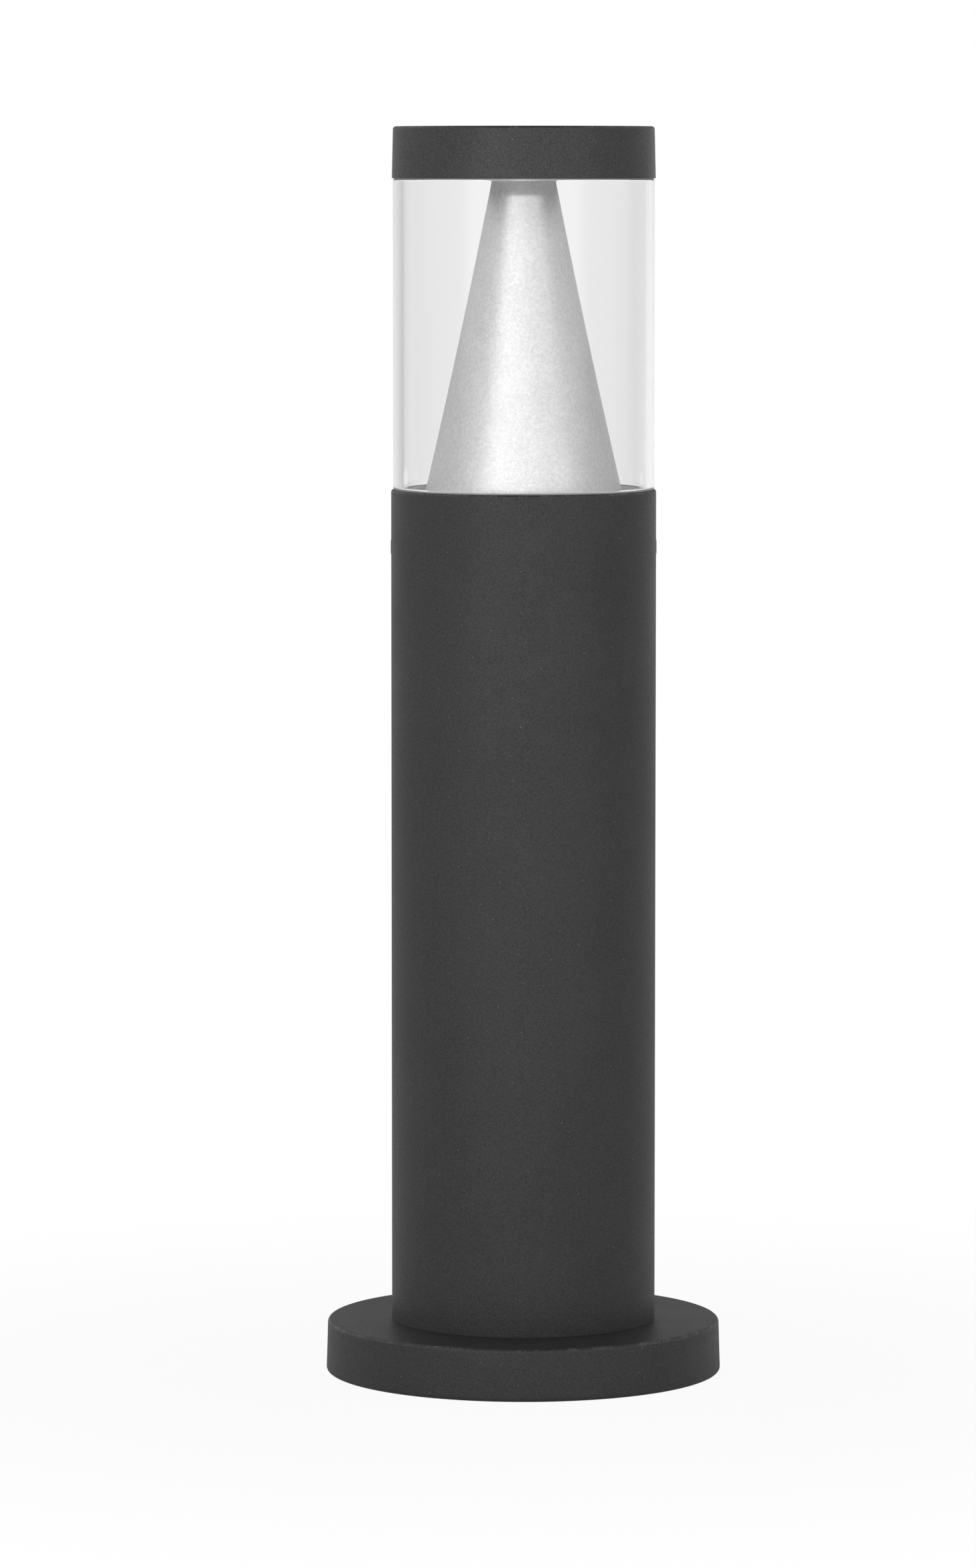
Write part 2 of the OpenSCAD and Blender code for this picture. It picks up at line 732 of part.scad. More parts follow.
module led_chips() {
    color("#f0dc7a") around(chip_n, chip_pcd / 2, 180 / chip_n)
        translate([-chip_w / 2, -chip_w / 2, board_z - chip_h]) cube([chip_w, chip_w, chip_h]);
}

// Clear ring dish over the chips, with a notch in its collar for the leads
module led_lens_ring() {
    color([0.93, 0.95, 0.96, 0.4]) difference() {
        translate([0, 0, lens_z]) {
            tube(lens_r, lens_bore_r, lens_wall);
            tube(lens_r, lens_r - lens_wall, lens_h);
            tube(lens_bore_r + lens_wall, lens_bore_r, lens_h);
            at_lens_screws() cylinder(r = lens_boss_r, h = lens_h);
        }
        translate([0, 0, lens_z - eps]) at_lens_screws()
            cylinder(r = lens_screw_d / 2 + pass_gap, h = lens_h + 2 * eps);
        translate([0, -lead_spread - lead_window_d / 2, led_lead_z - lead_window_d / 2])
            cube([lens_bore_r + lens_wall + eps, 2 * lead_spread + lead_window_d, lens_h]);
    }
}

module lens_screws() {
    color(stainless) translate([0, 0, lens_z]) at_lens_screws()
        rotate([180, 0, 0]) pan_screw(lens_screw_d, lens_h + board_t + lens_screw_grip, lens_screw_head_h);
}

// Gear tray: sheet with a folded top flange, screwed up under the carrier
module gear_tray() {
    r = tray_bend_r;
    color("#aeb3b8") difference() {
        translate([-tray_w / 2, 0, 0]) rotate([90, 0, 90]) linear_extrude(height = tray_w) polygon(concat(
            [[tray_y, tray_bottom_z]],
            arc(tray_y + r, tray_top_z - r, r, 180, 90),
            [[tray_y + tray_flange, tray_top_z], [tray_y + tray_flange, tray_top_z - tray_t]],
            arc(tray_y + r, tray_top_z - r, r - tray_t, 90, 180),
            [[tray_y + tray_t, tray_bottom_z]]
        ));
        for (x = [-1, 1])
            translate([x * tray_screw_span / 2, tray_screw_y, tray_top_z - tray_t - eps])
                cylinder(r = tray_screw_d / 2 + pass_gap, h = tray_t + 2 * eps);
        for (z = driver_screw_zs)
            translate([0, tray_y - eps, z]) rotate([-90, 0, 0])
                cylinder(r = driver_screw_d / 2 + thread_gap, h = tray_t + 2 * eps);
        translate([pole_pitch / 2, tray_y - eps, block_z + block_h / 2]) rotate([-90, 0, 0])
            cylinder(r = clamp_screw_d / 2 + thread_gap, h = tray_t + 2 * eps);
    }
}

module tray_screws() {
    color(stainless)
        for (x = [-1, 1])
            translate([x * tray_screw_span / 2, tray_screw_y, tray_top_z - tray_t])
                rotate([180, 0, 0]) pan_screw(tray_screw_d, tray_screw_len, tray_screw_head_h);
}

// Driver: closed case with an ear at each end
module led_driver() {
    c = driver_chamfer;
    color("#e8e8e4") difference() {
        union() {
            translate([0, 0, driver_z]) linear_extrude(height = driver_len) polygon([
                [-driver_w / 2, tray_y], [-driver_w / 2, tray_y - driver_t + c],
                [-driver_w / 2 + c, tray_y - driver_t], [driver_w / 2 - c, tray_y - driver_t],
                [driver_w / 2, tray_y - driver_t + c], [driver_w / 2, tray_y]
            ]);
            translate([-ear_w / 2, tray_y - ear_t, driver_z - ear_len])
                cube([ear_w, ear_t, driver_len + 2 * ear_len]);
        }
        for (z = driver_screw_zs)
            translate([0, tray_y - ear_t - eps, z]) rotate([-90, 0, 0])
                cylinder(r = driver_screw_d / 2 + pass_gap, h = ear_t + 2 * eps);
    }
}

module driver_screws() {
    color(stainless)
        for (z = driver_screw_zs)
            translate([0, tray_y - ear_t, z]) rotate([90, 0, 0])
                pan_screw(driver_screw_d, driver_screw_len, driver_screw_head_h);
}

// Terminal block with three poles: wires enter from above and below, screws from the front
module terminal_block() {
    color("#dfe2df") difference() {
        translate([-block_w / 2, block_front_y, block_z]) cube([block_w, block_t, block_h]);
        for (x = [-1 : 1]) translate([x * pole_pitch, 0, 0]) {
            for (z = [block_z - eps, block_z + block_h - wire_depth])
                translate([0, wire_y, z]) cylinder(d = wire_hole_d, h = wire_depth + eps);
            for (z = clamp_rows)
                translate([0, block_front_y - eps, block_z + block_h * z]) rotate([-90, 0, 0])
                    cylinder(r = clamp_screw_d / 2 + fit, h = clamp_sink + clamp_screw_h + eps);
        }
        translate([pole_pitch / 2, block_front_y - eps, block_z + block_h / 2]) rotate([-90, 0, 0])
            cylinder(r = clamp_screw_d / 2 + pass_gap, h = block_t + 2 * eps);
    }
}

module clamp_screws() {
    color("#c8a95a")
        for (x = [-1 : 1], z = clamp_rows)
            translate([x * pole_pitch, block_front_y + clamp_sink, block_z + block_h * z])
                rotate([-90, 0, 0]) difference() {
                    cylinder(d = clamp_screw_d, h = clamp_screw_h);
                    translate([-clamp_screw_d, -0.3, -eps]) cube([2 * clamp_screw_d, 0.6, eps + 0.6]);
                }
}

module terminal_screw() {
    color(stainless) translate([pole_pitch / 2, block_front_y, block_z + block_h / 2])
        rotate([90, 0, 0]) pan_screw(clamp_screw_d, block_screw_len + tray_t, block_screw_head_h);
}

module led_lead_plus() {
    color("#b8322c") lead(led_lead_route, led_lead_d);
}

module led_lead_minus() {
    color("#1f2022") lead([for (p = led_lead_route) [p.x, -p.y, p.z]], led_lead_d);
}

module mains_lead_live() {
    color("#6b4a33") lead(mains_lead_route, mains_lead_d);
}

module mains_lead_neutral() {
    color("#3a6ea8") lead([for (p = mains_lead_route) [-p.x, p.y, p.z]], mains_lead_d);
}

module earth_lead() {
    color("#7d9a3a") lead(earth_lead_route, mains_lead_d);
}

// Ring lug with a crimped barrel on the end of the earth lead
module earth_lug() {
    color("#cfd2d4") translate([0, earth_r, earth_z]) difference() {
        union() {
            cylinder(r = earth_boss_r, h = lug_t);
            translate([0, -lug_barrel_r, 0])
                cube([lug_reach - lug_barrel_len, 2 * lug_barrel_r, lug_t]);
            translate([lug_reach - lug_barrel_len, 0, lug_barrel_r]) rotate([0, 90, 0])
                cylinder(r = lug_barrel_r, h = lug_barrel_len);
        }
        translate([0, 0, -eps]) cylinder(r = earth_screw_d / 2 + pass_gap, h = lug_t + 2 * eps);
        translate([lug_reach - lug_grip, 0, lug_barrel_r]) rotate([0, 90, 0])
            cylinder(r = mains_lead_d / 2 + thread_gap, h = lug_grip + eps);
    }
}

module earth_screw() {
    color(stainless) translate([0, earth_r, earth_z + lug_t])
        pan_screw(earth_screw_d, earth_screw_len, earth_screw_head_h);
}

base_casting();
cable_grommet();
post_tube();
foot_screws();
lantern_carrier();
carrier_screws();
lower_seal();
clear_tube();
upper_seal();
cap();
reflector_cone();
cone_nut();
tie_pipe();
tie_washer();
tie_nut();
led_board();
led_chips();
led_lens_ring();
lens_screws();
gear_tray();
tray_screws();
led_driver();
driver_screws();
terminal_block();
clamp_screws();
terminal_screw();
led_lead_plus();
led_lead_minus();
mains_lead_live();
mains_lead_neutral();
earth_lead();
earth_lug();
earth_screw();
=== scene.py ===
"""Garden post light: camera, light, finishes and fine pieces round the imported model, in metres."""

import math

import bmesh
import bpy
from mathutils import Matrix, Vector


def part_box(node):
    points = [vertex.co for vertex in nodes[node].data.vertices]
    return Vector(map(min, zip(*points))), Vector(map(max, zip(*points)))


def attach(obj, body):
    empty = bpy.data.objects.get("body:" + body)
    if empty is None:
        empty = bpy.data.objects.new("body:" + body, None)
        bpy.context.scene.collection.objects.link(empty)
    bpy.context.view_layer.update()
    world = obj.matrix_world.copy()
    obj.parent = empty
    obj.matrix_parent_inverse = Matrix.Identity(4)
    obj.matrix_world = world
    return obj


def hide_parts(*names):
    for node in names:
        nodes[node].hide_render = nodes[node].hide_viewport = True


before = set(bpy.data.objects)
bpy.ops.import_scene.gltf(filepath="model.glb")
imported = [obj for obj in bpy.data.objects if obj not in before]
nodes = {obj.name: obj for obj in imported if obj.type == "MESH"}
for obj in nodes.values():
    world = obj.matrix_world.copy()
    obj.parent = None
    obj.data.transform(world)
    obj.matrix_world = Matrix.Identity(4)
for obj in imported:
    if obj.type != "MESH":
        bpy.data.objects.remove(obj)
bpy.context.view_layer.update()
scene = bpy.context.scene
scene.view_settings.view_transform = "Standard"

# Camera. A long lens stands 2.8 m in front of the light, level with the foot of its cap, and
# looks down by five degrees, so the post's sides converge a little towards the ground.
CAMERA_DISTANCE = 2.816
CAMERA_HEIGHT = 0.485
CAMERA_DIP = math.radians(5.03)
CAMERA_TURN = math.radians(0.29)
SENSOR_MM = 36
LENS_MM = 161.7

lens = bpy.data.cameras.new("camera")
lens.sensor_fit = "VERTICAL"
lens.sensor_height = SENSOR_MM
lens.lens = LENS_MM
camera = bpy.data.objects.new("camera", lens)
camera.location = (0, -CAMERA_DISTANCE, CAMERA_HEIGHT)
camera.rotation_euler = (math.pi / 2 - CAMERA_DIP, 0, CAMERA_TURN)
scene.collection.objects.link(camera)
scene.camera = camera

# Studio. The object stands in a pale tent, bright low in front and high at the sides and dim
# overhead, with a white wall behind. What is seen past the object, or straight through its clear
# tube, is white.
LOW_LEVELS = {"front": 1.00, "left": 0.36, "right": 0.15, "back": 1.00}
HIGH_LEVELS = {"front": 0.30, "left": 0.80, "right": 0.76, "back": 0.37}
LEFT_TO_RIGHT = (-0.6, 0.6)
ZENITH_SHARE = 0.35
FRONT_HALF_DEG = (46, 66)
BACK_TURN_DEG = 10
BACK_HALF_DEG = (14, 60)
LOW_TO_HIGH = (-0.05, 0.17)
HIGH_TO_ZENITH = (0.60, 0.95)
IN_WALL_SHARE = 0.7
WALL_PASSES = 2.5


def add(tree, kind, inputs=None, **settings):
    """A node of that kind. Each input is a value, or the socket of another node to link."""
    node = tree.nodes.new(kind)
    for key, value in settings.items():
        setattr(node, key, value)
    for name, value in (inputs or {}).items():
        if isinstance(value, bpy.types.NodeSocket):
            tree.links.new(value, node.inputs[name])
        else:
            node.inputs[name].default_value = value
    return node


def calc(tree, operation, *values):
    """The result of a Math node on sockets or numbers."""
    return add(tree, "ShaderNodeMath", dict(enumerate(values)), operation=operation).outputs[0]


def ramp(tree, value, low, high, start=0.0, end=1.0):
    """A socket that goes smoothly from start to end as value goes from low to high."""
    limits = {"Value": value, "From Min": low, "From Max": high, "To Min": start, "To Max": end}
    return add(tree, "ShaderNodeMapRange", limits, interpolation_type="SMOOTHSTEP").outputs[0]


def between(tree, first, last, share):
    """A socket that goes evenly from first to last by a share."""
    step = calc(tree, "SUBTRACT", last, first)
    return calc(tree, "ADD", first, calc(tree, "MULTIPLY", share, step))


world = bpy.data.worlds.new("studio")
scene.world = world
world.use_nodes = True
sky = world.node_tree
sky.nodes.clear()
direction = add(sky, "ShaderNodeSeparateXYZ", {0: add(sky, "ShaderNodeTexCoord").outputs["Generated"]})
x, y, z = (direction.outputs[axis] for axis in "XYZ")
side_turn = calc(sky, "ARCTAN2", x, calc(sky, "MULTIPLY", y, -1.0))
off_front = calc(sky, "ABSOLUTE", side_turn)
in_front = ramp(sky, off_front, *map(math.radians, FRONT_HALF_DEG), 1.0, 0.0)
off_back = calc(sky, "ABSOLUTE", calc(
    sky, "SUBTRACT", calc(sky, "ARCTAN2", x, y), math.radians(BACK_TURN_DEG)))
at_back = ramp(sky, off_back, *map(math.radians, BACK_HALF_DEG), 1.0, 0.0)


def tent_level(levels):
    """The tent's level round the object at one height, from its four levels."""
    level = ramp(sky, side_turn, *LEFT_TO_RIGHT, levels["left"], levels["right"])
    for share, side in ((in_front, "front"), (at_back, "back")):
        level = between(sky, level, levels[side], share)
    return level


tent = between(sky, tent_level(LOW_LEVELS), tent_level(HIGH_LEVELS), ramp(sky, z, *LOW_TO_HIGH))
tent = calc(sky, "MULTIPLY", tent, ramp(sky, z, *HIGH_TO_ZENITH, 1.0, ZENITH_SHARE))
path = add(sky, "ShaderNodeLightPath").outputs
beyond_wall = calc(sky, "GREATER_THAN", path["Transmission Depth"], WALL_PASSES)
mirrored = calc(sky, "MULTIPLY", calc(sky, "MINIMUM", path["Glossy Depth"], 1.0),
                calc(sky, "MAXIMUM", beyond_wall, IN_WALL_SHARE))
passed = calc(sky, "MAXIMUM", path["Is Camera Ray"], calc(
    sky, "SUBTRACT", path["Is Transmission Ray"], mirrored))
level = add(sky, "ShaderNodeMix", {"Factor": calc(sky, "MAXIMUM", passed, 0.0), "A": tent, "B": 1.0})
wall = add(sky, "ShaderNodeBackground", {"Color": (1, 1, 1, 1), "Strength": level.outputs["Result"]})
add(sky, "ShaderNodeOutputWorld", {0: wall.outputs[0]})

# Lamps. Three long strip lamps stand in an arc before the light, ten degrees up. They draw the
# bright face of the cone and the sharp shadow of the cap on it, and the left one is the strongest.
STRIP_WATTS = {-31: 7.0, 4: 4.9, 38: 3.6}
STRIP_RISE = math.radians(10)
STRIP_AWAY = 2.3
STRIP_SIZE = (1.35, 0.09)
STRIP_AIM = 0.44

for turn_deg, watts in STRIP_WATTS.items():
    light = bpy.data.lights.new("strip", "AREA")
    light.shape = "RECTANGLE"
    light.size, light.size_y = STRIP_SIZE
    light.energy = watts
    turn = math.radians(turn_deg)
    holder = bpy.data.objects.new("strip", light)
    holder.location = (
        STRIP_AWAY * math.sin(turn) * math.cos(STRIP_RISE),
        -STRIP_AWAY * math.cos(turn) * math.cos(STRIP_RISE),
        STRIP_AIM + STRIP_AWAY * math.sin(STRIP_RISE),
    )
    holder.rotation_euler = (math.pi / 2 - STRIP_RISE, 0, turn)
    scene.collection.objects.link(holder)

# Floor. A white sheet that keeps a faint shadow near the foot and is plain white further out. In
# the coat it shows bright before the light and dim beside and behind it.
FLOOR_HALF = 6.0
FLOOR_PAPER = (0.86, 0.86, 0.86, 1)
SHADOW_REACH = (0.12, 0.5)
SHADOW_SHARE = 0.065
MIRRORED_WHITE = (-0.45, 0.05, 0.50, 0.08)


def surface_point(tree):
    """The X, Y and Z of the shaded point, in metres, as its object has them."""
    spot = add(tree, "ShaderNodeTexCoord").outputs["Object"]
    return add(tree, "ShaderNodeSeparateXYZ", {0: spot}).outputs


floor_mesh = bpy.data.meshes.new("floor")
corners = [(x * FLOOR_HALF, y * FLOOR_HALF, 0) for x, y in ((-1, -1), (1, -1), (1, 1), (-1, 1))]
floor_mesh.from_pydata(corners, [], [(0, 1, 2, 3)])
floor = bpy.data.objects.new("floor", floor_mesh)
scene.collection.objects.link(floor)
paper = bpy.data.materials.new("floor_paper")
paper.use_nodes = True
tree = paper.node_tree
tree.nodes.clear()
reach = add(tree, "ShaderNodeVectorMath", {0: add(tree, "ShaderNodeTexCoord").outputs["Object"]},
            operation="LENGTH")
shadow_share = ramp(tree, reach.outputs["Value"], *SHADOW_REACH, SHADOW_SHARE, 0.0)
path = add(tree, "ShaderNodeLightPath").outputs
straight = calc(tree, "ADD", path["Is Camera Ray"], path["Is Transmission Ray"])
in_coat = calc(tree, "MULTIPLY", path["Is Glossy Ray"],
               ramp(tree, surface_point(tree)["Y"], *MIRRORED_WHITE))
seen = calc(tree, "MINIMUM", calc(tree, "ADD", straight, in_coat), 1.0)
white_share = calc(tree, "MULTIPLY", seen, calc(tree, "SUBTRACT", 1.0, shadow_share))
matt = add(tree, "ShaderNodeBsdfDiffuse", {"Color": FLOOR_PAPER})
glow = add(tree, "ShaderNodeEmission", {"Strength": 1.0})
both = add(tree, "ShaderNodeMixShader", {0: white_share, 1: matt.outputs[0], 2: glow.outputs[0]})
add(tree, "ShaderNodeOutputMaterial", {0: both.outputs[0]})
floor_mesh.materials.append(paper)

# Grain: an effect of fine and coarse unevenness, on every cast, coated, moulded or blasted surface
# of the light. Size and Cloud are how far across its fine and its coarse spots are, in metres.
GRAIN_SPREAD = (0.3, 0.7)
FINE_SHARE = 0.85
COARSE_SHARE = 1 - FINE_SHARE


def group(name, inputs, outputs):
    """An empty shader group with named inputs and outputs, and the sockets of its two ends."""
    tree = bpy.data.node_groups.new(name, "ShaderNodeTree")
    for key, value in inputs.items():
        socket = tree.interface.new_socket(key, in_out="INPUT", socket_type="NodeSocketFloat")
        socket.default_value = value
    for key in outputs:
        tree.interface.new_socket(key, in_out="OUTPUT", socket_type="NodeSocketFloat")
    return tree, tree.nodes.new("NodeGroupInput").outputs, tree.nodes.new("NodeGroupOutput").inputs


def weighed(tree, *parts):
    """The sum of some sockets, each times its share: (socket, share) for each part."""
    first, *others = [calc(tree, "MULTIPLY", socket, share) for socket, share in parts]
    for part in others:
        first = calc(tree, "ADD", first, part)
    return first


grain, given, out = group("surface_grain", {"Size": 0.0004, "Cloud": 0.02}, ("Fine", "Coarse", "Height"))
spot = add(grain, "ShaderNodeTexCoord").outputs["Object"]
fine, coarse = (
    add(grain, "ShaderNodeTexNoise", {
        "Vector": spot, "Scale": calc(grain, "DIVIDE", 1.0, given[across]), "Detail": detail,
        "Roughness": roughness,
    }).outputs[0]
    for across, detail, roughness in (("Size", 2.0, 0.6), ("Cloud", 3.0, 0.55))
)
height = weighed(grain, (fine, FINE_SHARE), (coarse, COARSE_SHARE))
grain.links.new(ramp(grain, fine, *GRAIN_SPREAD), out["Fine"])
grain.links.new(ramp(grain, coarse, *GRAIN_SPREAD), out["Coarse"])
grain.links.new(height, out["Height"])

# Foot, post, carrier and cap. Cast and drawn aluminium under one anthracite powder coat, which
# cures to a dry grain. It is painted a little paler along the edges that hands and boots meet, partly
# as wear and partly as a painted highlight, and a painted shadow darkens a thin band of the post
# where it stands on the foot.
COAT_DARK = 0.0125
COAT_LIGHT = 0.0430
COAT_GRAIN = 0.00062
COAT_CLOUD = 0.03
COAT_IOR = 1.55
COAT_GLOSS = (0.7, 0.3)
COAT_MATT = (0.50, 0.42)
COAT_DEPTH = 0.00012
# The cap's coat is painted this much paler, as painted light for the brighter light that falls on the cap.
CAP_PAINTED_LIGHT = 1.4
# Pale flecks in the coat's colour are painted glints.
PAINTED_GLINT = (0.17, 0.17, 0.17)
FLECK_SPACING = 0.004
FLECK_R = 0.00022
FLECK_BARE_SHARE = 0.45
# The paler edge colour: partly wear, partly a painted highlight on the rounded edge.
WEAR_AND_PAINTED_HIGHLIGHT = (0.12, 0.12, 0.12)
STREAK_SCALE = 170.0
STREAK_SPREAD = (0.46, 0.66)
SPECK_SCALE = 1400.0
SPECK_SPREAD = (0.36, 0.60)
FLANGE_EDGE_IN = 0.0012
FLANGE_EDGE_TOP = 0.0206
FLANGE_EDGE_REACH = 0.0011
# Painted shadow: the post is darkened below this height, just above where it stands on the foot.
SEAM_SHADE = (0.004, 0.004, 0.004)
SEAM_SHADE_TOP = 0.02135


def distance(tree, across, along):
    """How far a point is from where both of its measures are 0."""
    squares = [calc(tree, "MULTIPLY", way, way) for way in (across, along)]
    return calc(tree, "SQRT", calc(tree, "ADD", *squares))


# Edge line: a coat painted paler along one edge, partly as wear and partly as a painted highlight.
wear_highlight_effect, given, out = group("edge_wear_and_painted_highlight", {"Radius": 0.05, "Height": 0.1, "Reach": 0.001}, ("WearAndPaintedHighlight",))
spot = add(wear_highlight_effect, "ShaderNodeTexCoord").outputs["Object"]
place = surface_point(wear_highlight_effect)
off_r = calc(wear_highlight_effect, "SUBTRACT", distance(wear_highlight_effect, place["X"], place["Y"]), given["Radius"])
off_z = calc(wear_highlight_effect, "SUBTRACT", place["Z"], given["Height"])
away = calc(wear_highlight_effect, "DIVIDE", distance(wear_highlight_effect, off_r, off_z), given["Reach"])
streak = add(wear_highlight_effect, "ShaderNodeTexNoise", {"Vector": spot, "Scale": STREAK_SCALE, "Detail": 3.0}).outputs[0]
speck = add(wear_highlight_effect, "ShaderNodeTexNoise", {"Vector": spot, "Scale": SPECK_SCALE, "Detail": 1.0}).outputs[0]
edge_wear_highlight_share = calc(wear_highlight_effect, "MULTIPLY", ramp(wear_highlight_effect, streak, *STREAK_SPREAD), ramp(wear_highlight_effect, speck, *SPECK_SPREAD))
wear_highlight_effect.links.new(calc(wear_highlight_effect, "MULTIPLY", ramp(wear_highlight_effect, away, 0, 1, 1.0, 0.0), edge_wear_highlight_share), out["WearAndPaintedHighlight"])


def use(tree, effect, **values):
    """That effect's group placed in a material, with its own values."""
    node = tree.nodes.new("ShaderNodeGroup")
    node.node_tree = effect
    for name, value in values.items():
        node.inputs[name].default_value = value
    return node.outputs


def material(name, **inputs):
    """A material with one Principled shader, whose plain inputs are given by name."""
    made = bpy.data.materials.new(name)
    made.use_nodes = True
    tree = made.node_tree
    shader = tree.nodes["Principled BSDF"]
    for key, value in inputs.items():
        socket = shader.inputs[key.replace("_", " ")]
        socket.default_value = (*value, 1) if isinstance(value, tuple) else value
    return made, tree, shader


def tint(tree, shader, dark, light, share):
    """Makes the shader's colour go from dark to light by a socket. Returns the colour."""
    mixed = add(tree, "ShaderNodeMix", {"Factor": share}, data_type="RGBA")
    mixed.inputs["A"].default_value = (*dark, 1)
    mixed.inputs["B"].default_value = (*light, 1)
    tree.links.new(mixed.outputs["Result"], shader.inputs["Base Color"])
    return mixed.outputs["Result"]


def blend(tree, share, base, colour):
    """A colour socket that goes from base to a plain colour by a share."""
    mixed = add(tree, "ShaderNodeMix", {"Factor": share}, data_type="RGBA")
    tree.links.new(base, mixed.inputs["A"])
    mixed.inputs["B"].default_value = (*colour, 1)
    return mixed.outputs["Result"]


def relief(tree, shader, height, depth):
    """Bump of that depth in metres, driven by a height from 0 to 1."""
    bump = add(tree, "ShaderNodeBump", {"Height": height, "Distance": depth, "Strength": 1.0})
    tree.links.new(bump.outputs["Normal"], shader.inputs["Normal"])


def finish(made, *names):
    """Gives a finish to the CAD nodes of those names."""
    for name in names:
        for slot in nodes[name].material_slots:
            slot.material = made


def coat(name, member, edge=None, painted_light=1.0, seam_shade_top=None):
    """The powder coat of one casting, painted paler along an edge of that radius, height and reach, as wear
    and as a painted highlight.
    """
    made, tree, shader = material(name, IOR=COAT_IOR)
    texture = use(tree, grain, Size=COAT_GRAIN, Cloud=COAT_CLOUD)
    share = weighed(tree, (texture["Fine"], FINE_SHARE), (texture["Coarse"], COARSE_SHARE))
    # Painted light: the factor makes the whole coat paler where more light falls on it.
    colour = tint(tree, shader, (COAT_DARK * painted_light,) * 3, (COAT_LIGHT * painted_light,) * 3, share)
    spot = add(tree, "ShaderNodeTexCoord").outputs["Object"]
    # Painted glints: pale flecks in a share of small cells.
    cells = add(tree, "ShaderNodeTexVoronoi", {"Vector": spot, "Scale": 1 / FLECK_SPACING}).outputs
    painted_glint_mask = calc(tree, "LESS_THAN", cells["Distance"], FLECK_R / FLECK_SPACING)
    lot = add(tree, "ShaderNodeSeparateColor", {0: cells["Color"]}).outputs[0]
    picked = calc(tree, "GREATER_THAN", lot, FLECK_BARE_SHARE)
    colour = blend(tree, calc(tree, "MULTIPLY", painted_glint_mask, picked), colour, PAINTED_GLINT)
    if edge:
        radius, height, reach = edge
        # Painted paler along the edge: wear and a painted highlight.
        edge_wear_highlight_share = use(tree, wear_highlight_effect, Radius=radius, Height=height, Reach=reach)["WearAndPaintedHighlight"]
        colour = blend(tree, edge_wear_highlight_share, colour, WEAR_AND_PAINTED_HIGHLIGHT)
    if seam_shade_top:
        # Painted shadow in the gap where the post stands on the foot.
        in_seam_shade = calc(tree, "LESS_THAN", surface_point(tree)["Z"], seam_shade_top)
        colour = blend(tree, in_seam_shade, colour, SEAM_SHADE)
    tree.links.new(colour, shader.inputs["Base Color"])
    gloss = weighed(tree, *zip((texture["Fine"], texture["Coarse"]), COAT_GLOSS))
    tree.links.new(ramp(tree, gloss, 0, 1, *COAT_MATT), shader.inputs["Roughness"])
    relief(tree, shader, texture["Height"], COAT_DEPTH)
    finish(made, member)


def edge_of(name, inset, drop, reach):
    """The upper edge of a round node: the radius, height and reach of its line of wear and painted
    highlight.
    """
    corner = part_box(name)[1]
    return corner.x - inset, corner.z - drop, reach


flange_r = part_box("base_casting")[1].x
flange_edge = (flange_r - FLANGE_EDGE_IN, FLANGE_EDGE_TOP, FLANGE_EDGE_REACH)
post_edge = edge_of("post_tube", inset=0.0003, drop=0.0003, reach=0.0008)
cap_edge = edge_of("cap", inset=0.0009, drop=0.0004, reach=0.0009)
coat("powder_coat_foot", "base_casting", flange_edge)
coat("powder_coat_post", "post_tube", post_edge, seam_shade_top=SEAM_SHADE_TOP)
coat("powder_coat_cap", "cap", cap_edge, CAP_PAINTED_LIGHT)
coat("powder_coat_carrier", "lantern_carrier")


# Cable grommet. A moulded rubber bush, pressed into the floor of the foot.
def grained(name, dark, light, size, cloud, depth=0.0, matt=None, matt_by="Coarse", pattern=None, **inputs):
    """A finish whose grain, or a pattern, sets its colour, and its roughness where matt is given."""
    made, tree, shader = material(name, **inputs)
    texture = use(tree, grain, Size=size, Cloud=cloud)
    tint(tree, shader, dark, light, pattern(tree) if pattern else texture["Coarse"])
    if matt:
        tree.links.new(ramp(tree, texture[matt_by], 0, 1, *matt), shader.inputs["Roughness"])
    if depth:
        relief(tree, shader, texture["Height"], depth)
    return made, tree, shader


black_rubber = grained(
    "black_rubber", dark=(0.016, 0.016, 0.017), light=(0.028, 0.028, 0.03), size=0.0008, cloud=0.01,
    depth=0.00005, Roughness=0.72, IOR=1.5)[0]
finish(black_rubber, "cable_grommet")

# Turning marks: an effect of fine rings about the post's axis, Pitch metres apart, on what was
# spun or turned.
turned, given, out = group("turning_marks", {"Pitch": 0.0005, "Wander": 0.3}, ("Height",))
place = surface_point(turned)
slant = calc(turned, "ADD", place["Z"], distance(turned, place["X"], place["Y"]))
along = calc(turned, "DIVIDE", slant, given["Pitch"])
around = calc(turned, "MULTIPLY", calc(turned, "ARCTAN2", place["Y"], place["X"]), given["Wander"])
ring_place = add(turned, "ShaderNodeCombineXYZ", {"X": along, "Y": around})
marks = add(turned, "ShaderNodeTexNoise", {"Vector": ring_place.outputs[0], "Scale": 1.0, "Detail": 2.0})
turned.links.new(marks.outputs[0], out["Height"])

# Screws, nuts and washer. Stainless steel, turned and left bright.
stainless, tree, shader = grained(
    "stainless", dark=(0.50, 0.51, 0.53), light=(0.62, 0.63, 0.65), size=0.0006, cloud=0.006,
    matt=(0.24, 0.36), Metallic=1.0, IOR=1.5)
relief(tree, shader, use(tree, turned, Pitch=0.0003)["Height"], depth=0.00001)
finish(stainless, "foot_screws", "carrier_screws", "cone_nut", "tie_washer", "tie_nut", "lens_screws",
       "tray_screws", "driver_screws", "terminal_screw", "earth_screw")

# Seals. Two rings of light grey silicone, squeezed between the post's lip, the clear tube and the
# cap.
seal_silicone = grained(
    "seal_silicone", dark=(0.36, 0.36, 0.365), light=(0.44, 0.44, 0.445), size=0.0012, cloud=0.02,
    depth=0.00004, Roughness=0.5, IOR=1.41)[0]
finish(seal_silicone, "lower_seal", "upper_seal")

